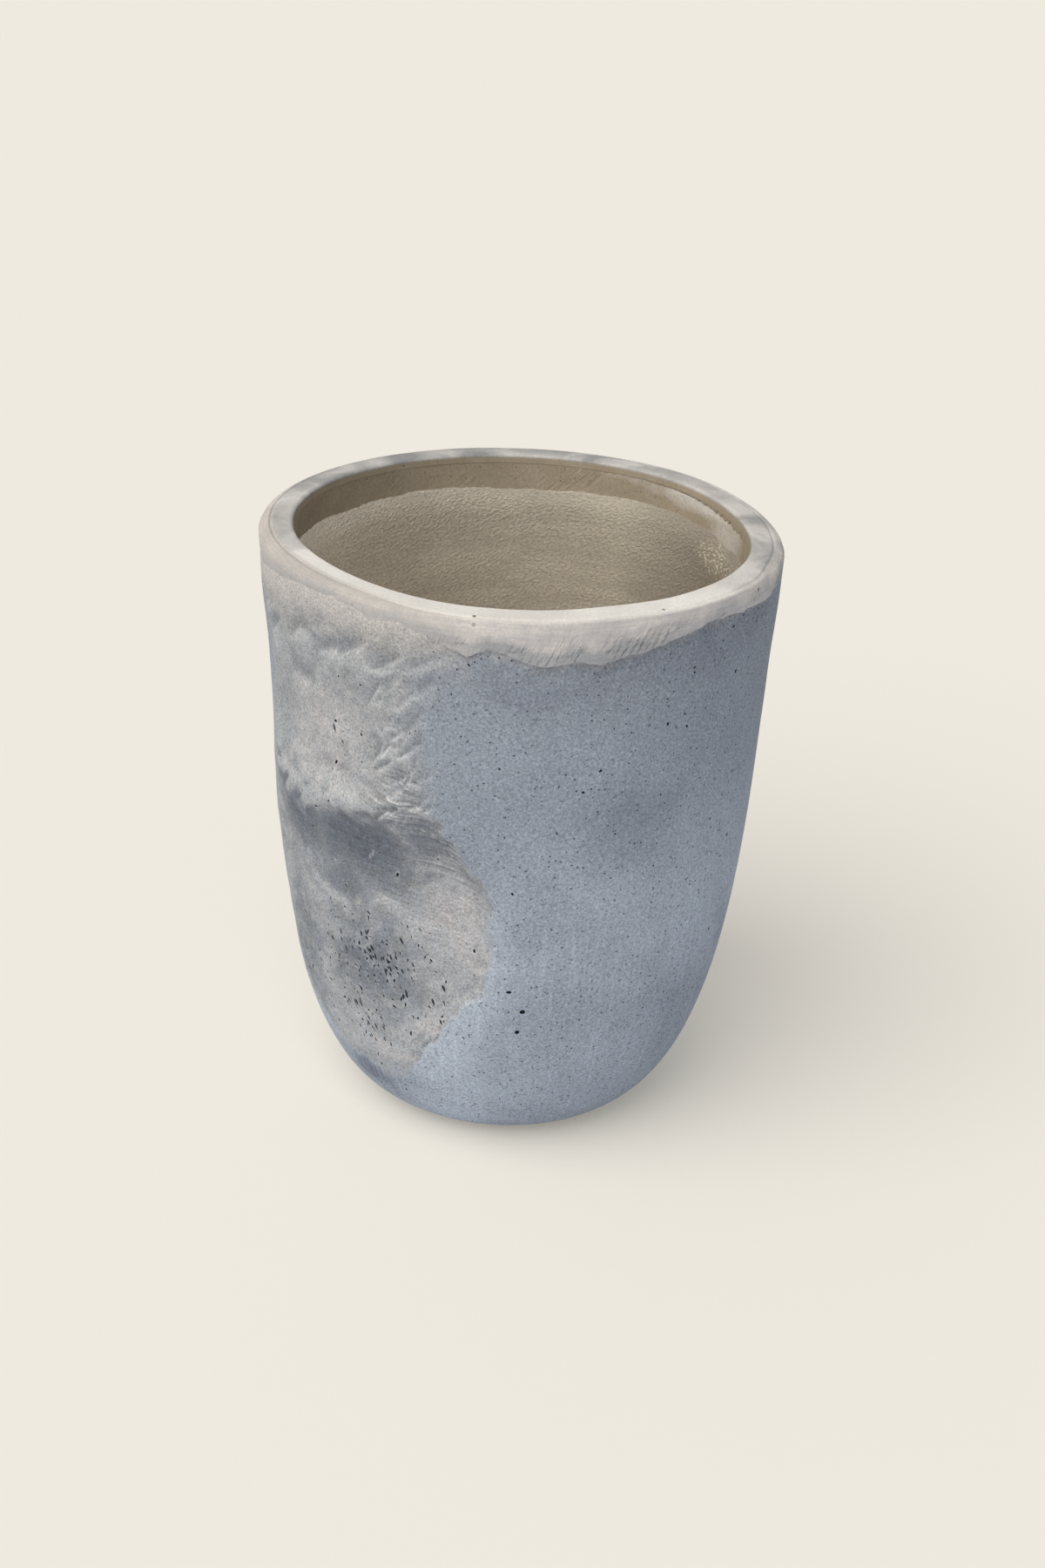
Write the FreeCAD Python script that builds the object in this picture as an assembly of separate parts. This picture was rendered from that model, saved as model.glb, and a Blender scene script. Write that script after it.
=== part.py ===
"""Hand-finished concrete floor planter: a cast cup with a pale trowelled rim, a render lining,
a drain sleeve closed by a pull-out rubber plug, and rubber pads under the foot.

Millimetres, +Z up. The origin is the middle of the standing face, on the floor.
"""

import FreeCAD
import Part

import math
import os

# Overall sizes
height = 530.0
rim_diameter = 450.0
wall = 25.0
floor_thickness = 34.0
bond_gap = 0.3
cut_overrun = 5.0

# Body: a wall that leans in, then a rounded bowl down to a flat foot
wall_lean = 9.0
rim_sway = 2.5
bowl_height = 328.0
bowl_power = 2.4
foot_radius = 100.0
inner_foot_inset = 10.0

# Rim coat: a trowelled cap with an outer skirt and a short inner lip
cap_thickness = 7.0
skirt_thickness = 2.2
skirt_edge_thickness = 1.8
skirt_drop = 38.0
rim_edge_round = 5.0
lip_thickness = 1.5
lip_edge_round = 3.0
lip_to_lining = 4.0

# Render lining
lining_thickness = 7.0
lining_below_shell_top = 19.0
lining_top_wave = 3.0
lining_floor_thickness = 9.0

# Drain sleeve and plug
sleeve_bore = 28.0
sleeve_wall = 3.0
sleeve_collar_reach = 9.0
sleeve_collar_thickness = 3.0
sleeve_fit = 0.2
plug_fit = 0.1
plug_tip_recess = 3.0
plug_shank_draft = 1.5
plug_tip_chamfer = 2.0
plug_head_reach = 8.0
plug_head_thickness = 6.0
plug_head_round = 2.5
tab_width = 24.0
tab_thickness = 8.0
tab_height = 16.0
tab_corner_round = 7.0
tab_edge_round = 2.0

# Foot: drain recess and stick-on pads
recess_depth = 6.0
pad_count = 4
pad_first_angle = 45.0
pad_diameter = 30.0
pad_thickness = 4.0
pad_edge_chamfer = 1.0
pad_socket_depth = 2.5
pad_socket_fit = 0.3
pad_to_foot_edge = 10.0
pad_to_recess = 8.0

# Flats pressed into the cup while it was wet: angle, half span, depth share of flat_depth
flat_depth = 8.0
flat_reach = 130.0
flat_shares = [
    (215.0, 45.0, 1.0),
    (18.0, 38.0, 0.5),
    (176.0, 22.0, 0.25),
    (292.0, 16.0, 0.3),
]

# Hollows hewn in the cast face: angle of the deepest place, then its share of height, the reach to the
# left and right as shares of rim diameter, below and above as shares of height, and the depth share
hollow_depth = 14.0
hollow_shares = [
    (228.0, 0.755, 0.46, 0.17, 0.125, 0.2, 0.68),
    (250.0, 0.52, 0.53, 0.168, 0.37, 0.125, 1.0),
    (228.0, 0.235, 0.17, 0.17, 0.12, 0.12, 0.39),
    (185.0, 0.69, 0.13, 0.13, 0.21, 0.21, 0.31),
    (192.0, 0.42, 0.16, 0.16, 0.2, 0.2, 0.17),
    (238.0, 0.9, 0.12, 0.1, 0.075, 0.07, 0.24),
]

# Lower edge of the skirt, the lip and the lining: shares of their drop or wave, evenly spaced
# from +X towards +Y
skirt_drop_shares = [
    0.3, 0.42, 0.6, 0.72, 0.5, 0.58, 0.8, 0.62, 0.44, 0.55, 0.76, 0.64,
    0.7, 0.74, 0.5, 0.36, 0.4, 0.5, 0.82, 0.98, 0.6, 0.38, 0.22, 0.18,
]
lip_drop_shares = [
    1.0, 0.86, 0.4, 0.24, 0.24, 0.28, 0.24, 0.26, 0.24, 0.24, 0.3, 0.26,
    0.24, 0.24, 0.28, 0.26, 0.24, 0.24, 0.28, 0.24, 0.26, 0.24, 0.34, 0.8,
]
lining_wave_shares = [
    0.1, -0.6, -0.2, 0.5, 0.9, 0.4, -0.3, 0.3, 0.8, -0.1, -0.7, 0.0,
    0.6, 0.2, -0.5, -0.2, 0.4, 0.7, 0.0, -0.4, 0.3, 0.8, 0.2, 0.5,
]

# Fineness of the freeform skins: poles round a ring, rows along the wall, the bowl and a short skirt
poles_round = 96
wall_rows = 14
bowl_rows = 24
skirt_rows = 5
round_rows = 4

# Levels and radii that several pieces share
foot_level = pad_thickness - pad_socket_depth
bowl_level = foot_level + bowl_height
floor_level = foot_level + floor_thickness
lining_floor_level = floor_level + lining_floor_thickness
shell_top = height - cap_thickness
lining_top = shell_top - lining_below_shell_top
lip_drop = lining_below_shell_top - lining_top_wave - lip_to_lining
shell_rim_radius = rim_diameter / 2 - skirt_thickness - bond_gap
inner_foot_radius = foot_radius - inner_foot_inset
pad_ring_radius = foot_radius - pad_to_foot_edge - pad_diameter / 2
recess_radius = pad_ring_radius - pad_diameter / 2 - pad_to_recess
sleeve_foot = foot_level + recess_depth
sleeve_radius = sleeve_bore / 2 + sleeve_wall
collar_radius = sleeve_radius + sleeve_collar_reach

step_angle = 2 * math.pi / poles_round
# A cubic ring runs inside its poles, which stand this much further out
pole_reach = 3 / (2 + math.cos(step_angle))


def smooth(share):
    """1 in the middle, falling softly to 0 at share 1."""
    return (1 - share * share) ** 2 if abs(share) < 1 else 0.0


def turn_between(angle, middle_degrees):
    """The signed turn from a middle, in radians, the short way round."""
    turn = angle - math.radians(middle_degrees)
    return math.atan2(math.sin(turn), math.cos(turn))


def share_round(shares, angle):
    """A smooth closed curve through evenly spaced shares, read at an angle."""
    place = (angle / (2 * math.pi)) % 1 * len(shares)
    first = int(place)
    part = place - first
    before, start, end, after = (shares[(first + k) % len(shares)] for k in (-1, 0, 1, 2))
    slope_in = (end - before) / 2
    slope_out = (after - start) / 2
    rise = end - start
    return (
        start
        + slope_in * part
        + (3 * rise - 2 * slope_in - slope_out) * part ** 2
        + (slope_in + slope_out - 2 * rise) * part ** 3
    )


def flat_at(angle, level):
    """How far the pressed flats take the wall in: fully at the rim, fading over their reach below it."""
    pressed = sum(
        share * smooth(turn_between(angle, middle) / math.radians(half_span))
        for middle, half_span, share in flat_shares
    )
    return flat_depth * pressed * smooth(min(1.0, (height - level) / flat_reach))


def hollow_at(angle, level):
    """How far the hewn hollows take the cast face in."""
    depth = 0.0
    for middle, level_share, left, right, below, above, depth_share in hollow_shares:
        across = turn_between(angle, middle) * rim_diameter / 2
        across /= (right if across > 0 else left) * rim_diameter
        along = level - level_share * height
        along /= (above if along > 0 else below) * height
        depth = max(depth, hollow_depth * depth_share * (1 - across ** 2 - along ** 2))
    return depth


def wall_radius(level):
    """The cast face's radius on its leaning wall, before the bowl, flats and hollows."""
    return shell_rim_radius - wall_lean * (shell_top - level) / (shell_top - bowl_level)


def outline(inset, foot, bottom, top):
    """Radius and level of each row of a cup surface that lies inset from the cast face."""
    rows = []
    bowl_reach = wall_radius(bottom) - inset - foot
    for k in range(bowl_rows):
        down = math.cos(math.pi / 2 * k / bowl_rows)
        fullness = (1 - down ** bowl_power) ** (1 / bowl_power)
        level = bowl_level - (bowl_level - bottom) * down
        rows.append((wall_radius(level) - inset - bowl_reach * (1 - fullness), level))
    for k in range(wall_rows + 1):
        level = bowl_level + (top - bowl_level) * k / wall_rows
        rows.append((wall_radius(level) - inset, level))
    return rows


def ring(radius_at, level_at):
    """Poles of one closed ring, from its radius and level at each angle. Higher rings sway to -X."""
    poles = []
    for k in range(poles_round):
        angle = k * step_angle
        reach = radius_at(angle) * pole_reach
        level = level_at(angle)
        sway = rim_sway * level / height
        poles.append(FreeCAD.Vector(reach * math.cos(angle) - sway, reach * math.sin(angle), level))
    return poles


def cup_ring(radius, level, hewn=False):
    """A level ring of the cup, with its flats and, on the cast face, its hollows."""
    def radius_at(angle):
        return radius - flat_at(angle, level) - (hollow_at(angle, level) if hewn else 0.0)
    return ring(radius_at, lambda angle: level)


def edge_ring(inset, level_at):
    """A ring on the wall at a level that wanders, inset from the cast face."""
    return ring(lambda angle: wall_radius(level_at(angle)) - inset - flat_at(angle, level_at(angle)),
                level_at)


def skin(rings):
    """A freeform face through rows of rings: closed round, cubic along where there are rows for it."""
    degree = min(3, len(rings) - 1)
    inner_knots = len(rings) - degree - 1
    ends = [degree + 1]
    surface = Part.BSplineSurface()
    surface.buildFromPolesMultsKnots(
        [list(column) for column in zip(*rings)],
        [1] * (poles_round + 1), ends + [1] * inner_knots + ends,
        list(range(poles_round + 1)), list(range(inner_knots + 2)),
        True, False, 3, degree)
    return surface.toShape()


def ring_wire(poles):
    curve = Part.BSplineCurve()
    curve.buildFromPolesMultsKnots(poles, [1] * (poles_round + 1), list(range(poles_round + 1)), True, 3)
    return Part.Wire(curve.toShape())


def plate(outer, inner=None):
    """A flat face inside one ring, or between two."""
    wires = [ring_wire(poles) for poles in (outer, inner) if poles]
    return Part.makeFace(wires, "Part::FaceMakerBullseye")


def solid_of(faces):
    """Sews faces that share their edges into one solid."""
    sewn = Part.makeCompound(faces)
    sewn.sewShape()
    solid = Part.Solid(sewn.Shells[0])
    if solid.Volume < 0:
        solid.reverse()
    return solid


def upright(radius, bottom, top, x=0.0, y=0.0):
    return Part.makeCylinder(radius, top - bottom, FreeCAD.Vector(x, y, bottom))


def turned(points):
    """A solid turned about Z from a closed outline of radius and level."""
    corners = [FreeCAD.Vector(radius, 0, level) for radius, level in points]
    face = Part.Face(Part.makePolygon(corners + corners[:1]))
    return face.revolve(FreeCAD.Vector(), FreeCAD.Vector(0, 0, 1), 360)


def pad_places():
    for k in range(pad_count):
        angle = math.radians(pad_first_angle + 360.0 * k / pad_count)
        yield pad_ring_radius * math.cos(angle), pad_ring_radius * math.sin(angle)


def cast_shell():
    """The cast concrete cup, with its hewn hollows, drain hole, drain recess and pad sockets."""
    outer = [cup_ring(radius, level, hewn=True)
             for radius, level in outline(0.0, foot_radius, foot_level, shell_top)]
    inner = [cup_ring(radius, level)
             for radius, level in outline(wall, inner_foot_radius, floor_level, shell_top)]
    shell = solid_of([skin(outer), skin(inner), plate(outer[0]), plate(inner[0]),
                      plate(outer[-1], inner[-1])])
    cuts = [
        upright(sleeve_radius + sleeve_fit, foot_level - cut_overrun, floor_level + cut_overrun),
        upright(collar_radius + sleeve_fit, floor_level - sleeve_collar_thickness,
                floor_level + cut_overrun),
        upright(recess_radius, foot_level - cut_overrun, sleeve_foot),
    ]
    for x, y in pad_places():
        cuts.append(upright(pad_diameter / 2 + pad_socket_fit, foot_level - cut_overrun,
                            pad_thickness, x, y))
    return shell.cut(cuts)


def rim_coat():
    """The pale render trowelled over the rim: a cap, a ragged outer skirt and a short inner lip."""
    def skirt_level(angle):
        return shell_top - skirt_drop * share_round(skirt_drop_shares, angle)

    def lip_level(angle):
        return shell_top - lip_drop * share_round(lip_drop_shares, angle)

    def rows(inset_low, inset_top, low_at, high):
        """Rings from a ragged edge up to a level, with the inset running between two values."""
        made = []
        for k in range(skirt_rows + 1):
            share = k / skirt_rows
            made.append(edge_ring(
                inset_low + (inset_top - inset_low) * share,
                lambda angle, share=share: low_at(angle) + (high - low_at(angle)) * share))
        return made

    def rounded(inset, reach, side):
        """Rings that roll an edge over, from the wall at the given inset on to the flat top."""
        made = []
        for k in range(1, round_rows + 1):
            turn = math.pi / 2 * k / round_rows
            level = height - reach + reach * math.sin(turn)
            made.append(edge_ring(inset + side * reach * (1 - math.cos(turn)),
                                  lambda angle, level=level: level))
        return made

    skirt_inset = -bond_gap - skirt_thickness
    lip_inset = wall + bond_gap + lip_thickness
    outer = rows(-bond_gap - skirt_edge_thickness, skirt_inset, skirt_level, height - rim_edge_round)
    outer += rounded(skirt_inset, rim_edge_round, 1)
    inner = rows(lip_inset, lip_inset, lip_level, height - lip_edge_round)
    inner += rounded(lip_inset, lip_edge_round, -1)
    against_outside = rows(-bond_gap, -bond_gap, skirt_level, shell_top)
    against_inside = rows(wall + bond_gap, wall + bond_gap, lip_level, shell_top)
    return solid_of([
        skin(outer), skin(inner), skin(against_outside), skin(against_inside),
        skin([outer[0], against_outside[0]]), skin([inner[0], against_inside[0]]),
        plate(outer[-1], inner[-1]), plate(against_outside[-1], against_inside[-1]),
    ])


def inner_lining():
    """The waterproof render inside the cup, from its floor to a wavering top edge below the rim."""
    def top_level(angle):
        return lining_top + lining_top_wave * share_round(lining_wave_shares, angle)

    def cup(inset, foot, bottom):
        made = []
        for radius, level in outline(inset, foot, bottom, lining_top):
            lift = max(0.0, (level - bowl_level) / (lining_top - bowl_level))

            def level_at(angle, level=level, lift=lift):
                return level + (top_level(angle) - lining_top) * lift

            def radius_at(angle, radius=radius, level_at=level_at):
                return radius - flat_at(angle, level_at(angle))

            made.append(ring(radius_at, level_at))
        return made

    back = cup(wall + bond_gap, inner_foot_radius - bond_gap, floor_level)
    front_foot = inner_foot_radius - lining_thickness
    front = cup(wall + bond_gap + lining_thickness, front_foot, lining_floor_level)
    lining = solid_of([skin(back), skin(front), plate(back[0]), plate(front[0]),
                       skin([back[-1], front[-1]])])
    return lining.cut(upright(sleeve_radius + sleeve_fit, floor_level - cut_overrun,
                              lining_floor_level + cut_overrun))


def drain_sleeve():
    """The plastic tube cast into the floor as the drain, held by its collar under the lining."""
    return turned([
        (sleeve_bore / 2, sleeve_foot),
        (sleeve_radius, sleeve_foot),
        (sleeve_radius, floor_level - sleeve_collar_thickness),
        (collar_radius, floor_level - sleeve_collar_thickness),
        (collar_radius, floor_level),
        (sleeve_radius, floor_level),
        (sleeve_radius, lining_floor_level),
        (sleeve_bore / 2, lining_floor_level),
    ])


def drain_plug():
    """The moulded rubber bung: a tapered shank, a head that seals on the lining and a pinch tab."""
    seat = lining_floor_level
    tip = sleeve_foot + plug_tip_recess
    shank_top = sleeve_bore / 2 - plug_fit
    shank_tip = shank_top - plug_shank_draft
    head_radius = sleeve_radius + plug_head_reach
    head_top = seat + plug_head_thickness
    body = turned([
        (0, tip),
        (shank_tip - plug_tip_chamfer, tip),
        (shank_tip, tip + plug_tip_chamfer),
        (shank_top, seat),
        (head_radius, seat),
        (head_radius, head_top),
        (0, head_top),
    ])
    head_rim = [edge for edge in body.Edges
                if math.isclose(edge.BoundBox.ZMin, head_top) and edge.Length > math.pi * head_radius]
    body = body.makeFillet(plug_head_round, head_rim)
    tab = Part.makeBox(tab_width, tab_thickness, plug_head_thickness + tab_height,
                       FreeCAD.Vector(-tab_width / 2, -tab_thickness / 2, seat))
    shoulders = [edge for edge in tab.Edges
                 if edge.BoundBox.ZMin > head_top and edge.BoundBox.YLength > edge.BoundBox.XLength]
    tab = tab.makeFillet(tab_corner_round, shoulders)
    brims = [edge for edge in tab.Edges
             if edge.BoundBox.ZMax > head_top and edge.BoundBox.YLength < tab_thickness / 2]
    tab = tab.makeFillet(tab_edge_round, brims)
    return body.fuse(tab).removeSplitter()


def foot_pad(x, y):
    """One rubber pad, stuck into its socket under the foot."""
    radius = pad_diameter / 2
    pad = turned([
        (0, 0),
        (radius - pad_edge_chamfer, 0),
        (radius, pad_edge_chamfer),
        (radius, pad_thickness),
        (0, pad_thickness),
    ])
    pad.translate(FreeCAD.Vector(x, y, 0))
    return pad


pieces = {
    "cast_shell": cast_shell(),
    "rim_coat": rim_coat(),
    "inner_lining": inner_lining(),
    "drain_sleeve": drain_sleeve(),
    "drain_plug": drain_plug(),
}
for number, (pad_x, pad_y) in enumerate(pad_places(), 1):
    pieces[f"foot_pad_{number}"] = foot_pad(pad_x, pad_y)

os.makedirs("parts", exist_ok=True)
for name, shape in pieces.items():
    shape.exportStep(f"parts/{name}.step")
    box = shape.BoundBox
    print(f"{name}: valid {shape.isValid()}, solids {len(shape.Solids)}, volume {shape.Volume:.0f} mm3, "
          f"{box.XLength:.1f} x {box.YLength:.1f} x {box.ZLength:.1f} mm")
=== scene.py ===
import math
import random

import bmesh
import bpy
import numpy as np
from mathutils import Matrix, Vector, noise


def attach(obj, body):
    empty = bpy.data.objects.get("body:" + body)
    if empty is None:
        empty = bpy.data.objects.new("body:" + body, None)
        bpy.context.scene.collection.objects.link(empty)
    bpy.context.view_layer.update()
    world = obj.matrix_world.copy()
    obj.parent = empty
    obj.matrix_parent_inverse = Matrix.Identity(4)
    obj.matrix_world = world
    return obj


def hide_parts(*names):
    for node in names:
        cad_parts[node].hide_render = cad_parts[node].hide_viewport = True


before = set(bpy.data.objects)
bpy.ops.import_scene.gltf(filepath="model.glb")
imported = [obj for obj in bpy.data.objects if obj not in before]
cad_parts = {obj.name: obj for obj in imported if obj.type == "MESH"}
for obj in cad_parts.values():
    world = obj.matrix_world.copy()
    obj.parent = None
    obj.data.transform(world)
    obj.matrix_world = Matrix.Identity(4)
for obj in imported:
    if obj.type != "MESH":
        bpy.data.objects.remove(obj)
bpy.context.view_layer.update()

# Cast shell
# The cup itself: grey concrete cast in one pour in a smooth mould, rounded down to a flat foot. Its left
# side was hewn by hand into shallow hollows, and air trapped in the mix left small holes all over it.
mm = 0.001
shell_line = [  # radius and level in mm, then the same for the handles below and above
    ((100, 1.5), (90, 1.5), (150, 1.5)),
    ((188, 120), (173, 68), (201, 166)),
    ((213.5, 329.5), (209, 262), (216.5, 394)),
    ((222.5, 523), (219.5, 458), (223, 534)),
]
shell_rows = 54
foot_stops = [(82, 1.5), (60, 1.5), (38, 1.5), (0, 1.5)]
inner_stops = [
    (197.5, 523), (197.2, 519), (197, 515), (196.8, 511), (196.6, 507), (196.4, 503), (193, 430),
    (188.5, 329.5), (180, 225), (163, 120), (142, 68), (112, 41), (90, 35.5), (60, 35.5), (0, 35.5),
]
spins = [(178, 56), (99, 208), (58, 76), (25, 10)]  # degrees and steps: finest across the hewn side


def bare():
    """Leaves edit mode with nothing selected."""
    if bpy.context.object and bpy.context.object.mode != "OBJECT":
        bpy.ops.object.mode_set(mode="OBJECT")
    bpy.ops.object.select_all(action="DESELECT")


def draw_line(name, line, rows):
    """A drawn Bezier line in the XZ plane, turned into a mesh of edges with that many rows to a span."""
    bare()
    bpy.ops.curve.primitive_bezier_curve_add(location=(0, 0, 0))
    drawn = bpy.context.object
    drawn.name = name
    drawn.data.resolution_u = rows
    bends = drawn.data.splines[0].bezier_points
    bends.add(len(line) - len(bends))
    for bend, (place, below, above) in zip(bends, line):
        bend.handle_left_type = bend.handle_right_type = "FREE"
        bend.co = place[0] * mm, 0, place[1] * mm
        bend.handle_left = below[0] * mm, 0, below[1] * mm
        bend.handle_right = above[0] * mm, 0, above[1] * mm
    bpy.ops.object.convert(target="MESH")
    return bpy.context.object


def extrude_on(piece, end, stops):
    """Extrudes the end of a drawn line from stop to stop, in radius and level."""
    bpy.ops.object.mode_set(mode="EDIT")
    bpy.ops.mesh.select_mode(type="VERT")
    bpy.ops.mesh.select_all(action="DESELECT")
    mesh = bmesh.from_edit_mesh(piece.data)
    mesh.verts.ensure_lookup_table()
    here = mesh.verts[end].co.copy()
    mesh.verts[end].select_set(True)
    bmesh.update_edit_mesh(piece.data)
    for radius, level in stops:
        there = Vector((radius * mm, 0, level * mm))
        bpy.ops.mesh.extrude_region_move(TRANSFORM_OT_translate={"value": there - here})
        here = there
    bpy.ops.object.mode_set(mode="OBJECT")


def modify(piece, kind, **settings):
    """Adds a modifier with its settings and applies it."""
    bare()
    bpy.context.view_layer.objects.active = piece
    piece.select_set(True)
    made = piece.modifiers.new(kind.lower(), kind)
    for name, value in settings.items():
        setattr(made, name, value)
    bpy.ops.object.modifier_apply(modifier=made.name)


def smooth_up_to(piece, degrees):
    """Shades a piece smooth, apart from edges sharper than that."""
    bare()
    piece.select_set(True)
    bpy.context.view_layer.objects.active = piece
    bpy.ops.object.shade_smooth_by_angle(angle=math.radians(degrees))


def spin_round(piece, turns):
    """Turns a drawn line about Z, sector by sector, then closes the seams and the poles."""
    sectors, start = [], 0
    for degrees, steps in turns:
        sector = piece.copy()
        sector.data = piece.data.copy()
        bpy.context.scene.collection.objects.link(sector)
        sector.data.transform(Matrix.Rotation(math.radians(start), 4, "Z"))
        modify(sector, "SCREW", axis="Z", angle=math.radians(degrees), steps=steps, render_steps=steps,
               use_smooth_shade=False)
        sectors.append(sector)
        start += degrees
    piece.data.clear_geometry()
    for sector in sectors:
        sector.select_set(True)
    piece.select_set(True)
    bpy.context.view_layer.objects.active = piece
    bpy.ops.object.join()
    bpy.ops.object.mode_set(mode="EDIT")
    bpy.ops.mesh.select_all(action="SELECT")
    bpy.ops.mesh.remove_doubles(threshold=0.01 * mm)
    bpy.ops.mesh.normals_make_consistent(inside=False)
    bpy.ops.object.mode_set(mode="OBJECT")


def points_of(piece):
    """All points of a piece, as rows of x, y, z."""
    flat = np.empty(3 * len(piece.data.vertices), np.float32)
    piece.data.vertices.foreach_get("co", flat)
    return flat.reshape(-1, 3).astype(float)


def move_to(piece, places):
    """Moves all points of a piece to new places."""
    piece.data.vertices.foreach_set("co", places.astype(np.float32).ravel())
    piece.data.update()


def radii_of(places):
    """How far each point is from the middle line, in mm."""
    return np.hypot(places[:, 0], places[:, 1]) / mm


def normals_of(piece):
    """The normals at all points of a piece, as rows of x, y, z."""
    flat = np.empty(3 * len(piece.data.vertices), np.float32)
    piece.data.vertices.foreach_get("normal", flat)
    return flat.reshape(-1, 3)


def outward(piece, places):
    """How far each point's normal turns away from the middle line: 1 straight out, -1 straight in."""
    normals = normals_of(piece)
    radius = np.maximum(np.hypot(places[:, 0], places[:, 1]), mm)
    return (normals[:, 0] * places[:, 0] + normals[:, 1] * places[:, 1]) / radius


def weigh(piece, name, shares):
    """Gives the points of a piece their weights in a named group."""
    group = piece.vertex_groups.new(name=name)
    for index in np.nonzero(shares > 0.001)[0]:
        group.add([int(index)], float(shares[index]), "REPLACE")


def ease(value, low, high):
    """0 below low, 1 above high, and a soft step between."""
    share = np.clip((value - low) / (high - low), 0, 1)
    return share * share * (3 - 2 * share)


def ripple(points, size, seed):
    """Smooth noise from -1 to 1 at each point, with lumps of that size in mm."""
    offset = Vector((seed * 7.3, seed * 3.1, seed * 5.7))
    return np.array([noise.noise(Vector(place) / (size * mm) + offset) for place in points])


def turn_and_level(points):
    """Degrees round from +X towards +Y, and level in mm."""
    return np.degrees(np.arctan2(points[:, 1], points[:, 0])) % 360, points[:, 2] / mm


def push(piece, depths):
    """Moves each point of a piece along its normal by so many mm, outwards where positive."""
    move_to(piece, points_of(piece) + normals_of(piece) * depths[:, None] * mm)


def edge_levels(node, lowest, pick, steps=720):
    """The level of a CAD node's ragged edge at even turns: the lowest or highest of its chosen points."""
    places = points_of(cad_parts[node])
    turns, levels = turn_and_level(places)
    chosen = pick(radii_of(places), levels)
    slots = np.round(turns[chosen] / 360 * steps).astype(int) % steps
    found = np.full(steps, np.nan)
    for slot, level in zip(slots, levels[chosen]):
        if np.isnan(found[slot]) or (level < found[slot]) == lowest:
            found[slot] = level
    known = np.nonzero(~np.isnan(found))[0]
    return np.interp(np.arange(steps), known, found[known], period=steps)


def at_turn(table, turns):
    """Reads a table of even turns at any turn."""
    return np.interp(turns, np.arange(len(table)) * 360 / len(table), table, period=360)


def evened(table, width):
    """A table of even turns with each entry averaged over so many around it."""
    total = len(table)
    return np.convolve(np.tile(table, 3), np.ones(width) / width, "same")[total:2 * total]


def ways_out(turns):
    """The level unit way out from the middle line at each turn, as rows of x, y, z."""
    return np.stack([np.cos(np.radians(turns)), np.sin(np.radians(turns)), 0 * turns], 1)


sight_start = 0.4  # m from the middle line, well clear of the planter
all_round = np.arange(0, 360, 1.0)


def hit_radius(node, turns, levels, from_outside):
    """The radius in mm at which a level line of sight first meets a CAD node, from outside or from the middle."""
    found = []
    for turn, level in zip(np.radians(turns), levels):
        way = Vector((math.cos(turn), math.sin(turn), 0))
        start = way * sight_start if from_outside else Vector()
        start.z = level * mm
        hit, spot, _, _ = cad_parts[node].ray_cast(start, -way if from_outside else way)
        found.append(math.hypot(spot.x, spot.y) / mm if hit else np.nan)
    return np.array(found)


# Where the hewn side ends: degrees round at each level on the right and on the left, and level at each turn below
hewn_right = [(60, 238), (95, 247), (130, 254), (180, 261), (235, 268), (285, 266), (325, 260), (370, 252),
              (430, 249), (480, 252), (530, 258)]
hewn_left = [(60, 225), (100, 204), (150, 190), (250, 186), (300, 190), (400, 192), (460, 189), (530, 180)]
hewn_below = [(150, 190), (180, 118), (205, 84), (230, 73), (245, 80), (270, 120)]
per_degree = 3.8  # mm along the round


def hewn_share(points, softness):
    """1 on the hewn side, 0 on the cast face, with a ragged edge between that is sharper or softer; and how far
    inside its right edge each point lies, in mm."""
    turn, level = turn_and_level(points)
    ragged = 22 * ripple(points, 66, 1) + 9 * ripple(points, 25, 2) + 3 * ripple(points, 10, 8)
    right = (np.interp(level, *zip(*hewn_right)) - turn) * per_degree + ragged
    below = (level - np.interp(turn, *zip(*hewn_below))) + 1.3 * ragged
    left = (turn - np.interp(level, *zip(*hewn_left))) * per_degree + 1.5 * ragged
    fade = softness * (1 + 4 * (softness > 1) * ease(level, 335, 400))
    share = ease(right, -2 * fade, 5 * fade) * ease(below, -4 * softness, 8 * softness) * ease(left, -16, 24)
    return share, right


def patches(points, places, wander=0):
    """The strongest of some soft patches at each point: turn, level, half width, half height, share.
    Their edges wander by about so many mm."""
    turn, level = turn_and_level(points)
    if wander:
        turn = turn + wander / per_degree * (ripple(points, 44, 31) + 0.5 * ripple(points, 17, 32))
        level = level + wander * (ripple(points, 44, 33) + 0.5 * ripple(points, 17, 34))
    most = np.zeros(len(points))
    for middle, height, wide, tall, share in places:
        away = (((turn - middle + 180) % 360 - 180) * per_degree / wide) ** 2 + ((level - height) / tall) ** 2
        most = np.maximum(most, share * np.clip(1 - away, 0, 1))
    return most


def scoops_at(points, marks):
    """How deep the tool went at each point, in scoops that deepen slowly up to a sharp lower right edge, and
    the share of that edge, where a painted highlight goes."""
    turn, level = turn_and_level(points)
    deepest, edges = np.zeros(len(points)), np.zeros(len(points))
    for middle, height, length, width, slope, depth in marks:
        right = ((turn - middle + 180) % 360 - 180) * per_degree
        near = np.nonzero((np.abs(right) < length) & (np.abs(level - height) < length))[0]
        lean = math.radians(slope)
        along = (right[near] * math.cos(lean) + (level[near] - height) * math.sin(lean)) / (length / 2)
        across = (right[near] * math.sin(lean) - (level[near] - height) * math.cos(lean)) / (width / 2)
        taper = np.clip(1 - along ** 2, 0, 1)
        wall = 1 - ease(across, 0.55, 1.0)
        deepest[near] = np.maximum(deepest[near], depth * taper * ease(across, -1.2, 0.55) * wall)
        edge = depth * taper * ease(across, 0.5, 0.75) * (1 - ease(across, 0.85, 1.1))
        edges[near] = np.maximum(edges[near], edge)
    return deepest, edges


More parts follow.
